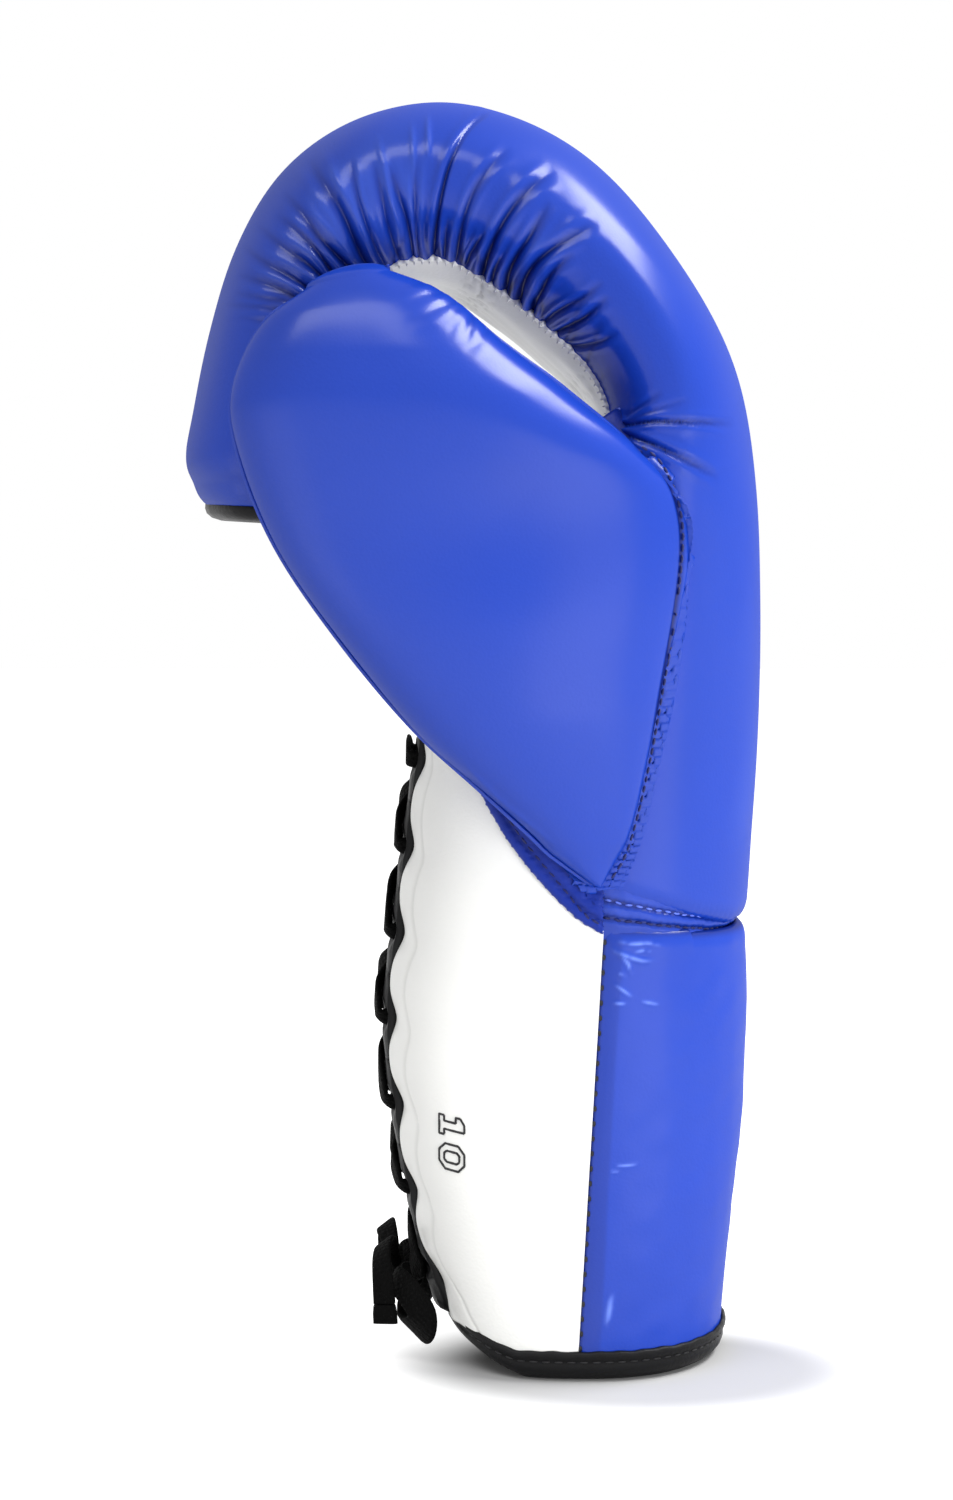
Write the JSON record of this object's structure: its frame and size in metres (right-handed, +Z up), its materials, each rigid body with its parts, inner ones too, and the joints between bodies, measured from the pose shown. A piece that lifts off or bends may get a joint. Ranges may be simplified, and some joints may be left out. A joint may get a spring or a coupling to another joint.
{
  "type": "lace-up boxing glove",
  "caption": "Right-hand padded boxing glove in blue and white leather with a curled mitt, a separate thumb and a laced cuff.",
  "frame": {"origin": "under the middle of the glove's box, on the plane that the hem stands on, without the free ends of the lace", "axes": "+Z up along the cuff to the fingers, +X towards the back of the hand, -Y towards the thumb"},
  "size_m": [0.14, 0.1486, 0.3046],
  "materials": {
    "blue_leather": "satin",
    "dark_blue_leather": "satin",
    "white_leather": "satin",
    "black_leather": "satin",
    "black_lace": "matte",
    "padding": "matte",
    "lining_cloth": "matte"
  },
  "bodies": {
    "cuff": {"cuff_back_panel": "blue_leather", "cuff_side_panel_thumb": "white_leather", "cuff_side_panel_finger": "white_leather", "cuff_back_foam": "padding", "cuff_side_foam_thumb": "padding", "cuff_side_foam_finger": "padding", "cuff_lining": "lining_cloth", "hem_binding": "black_leather", "lace_facing_thumb": "black_leather", "lace_facing_finger": "black_leather", "tongue": "black_leather", "lace": "black_lace", "lace_knot": "black_lace", "bow_loop_thumb": "black_lace", "bow_tail_thumb": "black_lace", "lace_tip_thumb": "black_lace", "bow_loop_finger": "black_lace", "bow_tail_finger": "black_lace", "lace_tip_finger": "black_lace"},
    "mitt": {"main_face_leather": "blue_leather", "palm_leather": "white_leather", "finger_end_panel": "black_leather", "fist_foam": "padding", "hand_lining": "lining_cloth", "grip_bar": "padding", "thumb_strap": "dark_blue_leather", "thumb_gusset": "dark_blue_leather", "finger_gusset": "dark_blue_leather", "wrist_welt": "blue_leather", "palm_fold": "white_leather"},
    "thumb": {"thumb_outer_leather": "blue_leather", "thumb_inner_leather": "blue_leather", "thumb_foam": "padding", "thumb_lining": "lining_cloth"}
  },
  "joints": [
    {"name": "wrist_flex", "type": "hinge", "parent": "cuff", "child": "mitt", "pos_m": [0.03319, 0.01423, 0.107], "axis": [0, -1, 0], "range_deg": [-6, 8], "stiffness_Nm_per_rad": 4, "deforming": ["wrist_welt", "palm_fold"]},
    {"name": "thumb_abduct", "type": "hinge", "parent": "mitt", "child": "thumb", "pos_m": [0.05319, -0.03877, 0.206], "axis": [0.1488, -0.0916, 0.9846], "range_deg": [0, 8], "stiffness_Nm_per_rad": 0.5, "deforming": ["thumb_strap"]}
  ]
}
